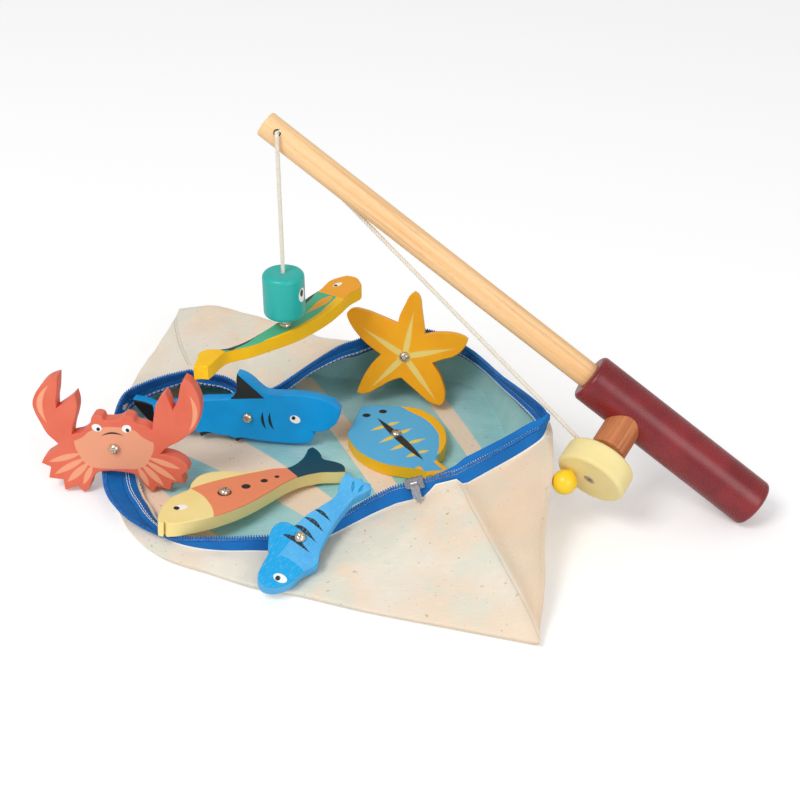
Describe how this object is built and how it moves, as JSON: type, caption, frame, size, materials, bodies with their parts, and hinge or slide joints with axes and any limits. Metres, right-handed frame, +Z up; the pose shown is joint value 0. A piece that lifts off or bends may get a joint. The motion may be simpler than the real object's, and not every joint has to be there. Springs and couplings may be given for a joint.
{
  "type": "magnetic fishing game",
  "caption": "Wooden rod with a turning reel and a magnet bob on its line, wooden sea creatures with steel screws to catch, and the open zip pouch they are kept in.",
  "frame": {"origin": "centre of the pouch's footprint on the floor", "axes": "+X right along the length of the set, +Y away from the viewer of the picture, +Z up"},
  "size_m": [0.4456, 0.337, 0.224],
  "materials": {
    "beech": "bare, sanded",
    "handle_paint": "dark red speckled gloss paint on wood",
    "peg_stain": "reddish stain",
    "cream_paint": "cream satin paint on wood",
    "yellow_paint": "yellow gloss paint on wood",
    "line_cord": "round braided cord",
    "teal_paint": "teal satin paint on wood",
    "magnet_nickel": "plated magnet",
    "screw_steel": "plated steel",
    "crab_paint": "coral satin paint with print on the face",
    "shark_paint": "blue satin paint with print on the face",
    "salmon_paint": "cream paint with an orange and dark teal printed face",
    "striped_paint": "light blue paint with print on the face",
    "flatfish_paint": "yellow paint with a light blue printed face",
    "starfish_paint": "orange yellow paint with pale rays on the face",
    "mackerel_paint": "yellow paint with a teal green printed face",
    "canvas": "unbleached canvas",
    "lining_print": "teal and cream printed cotton",
    "zip_cloth": "blue woven tape",
    "zip_teeth": "blue moulded coil",
    "slider_metal": "polished"
  },
  "bodies": {
    "set": {"rod_stick": "beech", "rod_handle": "handle_paint", "reel_peg": "peg_stain", "reel_screw": "screw_steel", "line_taut": "line_cord", "line_hanging": "line_cord", "crab": "crab_paint", "shark": "shark_paint", "salmon": "salmon_paint", "striped_fish": "striped_paint", "flatfish": "flatfish_paint", "starfish": "starfish_paint", "crab_screw": "screw_steel", "shark_screw": "screw_steel", "salmon_screw": "screw_steel", "striped_screw": "screw_steel", "flatfish_screw": "screw_steel", "starfish_screw": "screw_steel", "pouch_canvas": "canvas", "pouch_lining": "lining_print", "zip_tape": "zip_cloth", "zip_coil": "zip_teeth", "zip_slider": "slider_metal"},
    "reel": {"reel_disc": "cream_paint", "reel_knob": "yellow_paint", "line_turns": "line_cord"},
    "bob": {"bob": "teal_paint", "bob_magnet": "magnet_nickel", "line_knot": "line_cord", "mackerel": "mackerel_paint", "mackerel_screw": "screw_steel"},
    "pull": {"zip_pull": "slider_metal"}
  },
  "joints": [
    {"name": "reel_spin", "type": "hinge", "parent": "set", "child": "reel", "pos_m": [0.17144, -0.05057, 0.04925], "axis": [-0.5374, -0.7267, -0.428], "range_deg": [0, 570]},
    {"name": "bob_lift", "type": "slide", "parent": "set", "child": "bob", "axis": [0, 0, 1], "range_m": [0, 0.065], "deforming": ["line_hanging"]},
    {"name": "pull_swing", "type": "hinge", "parent": "set", "child": "pull", "pos_m": [0.05833, -0.05992, 0.03428], "axis": [-0.9641, -0.0521, -0.2606], "range_deg": [0, 100]}
  ],
  "couplings": [
    {"joint": "bob_lift", "follows": "reel_spin", "m_per_rad": 0.00645}
  ]
}
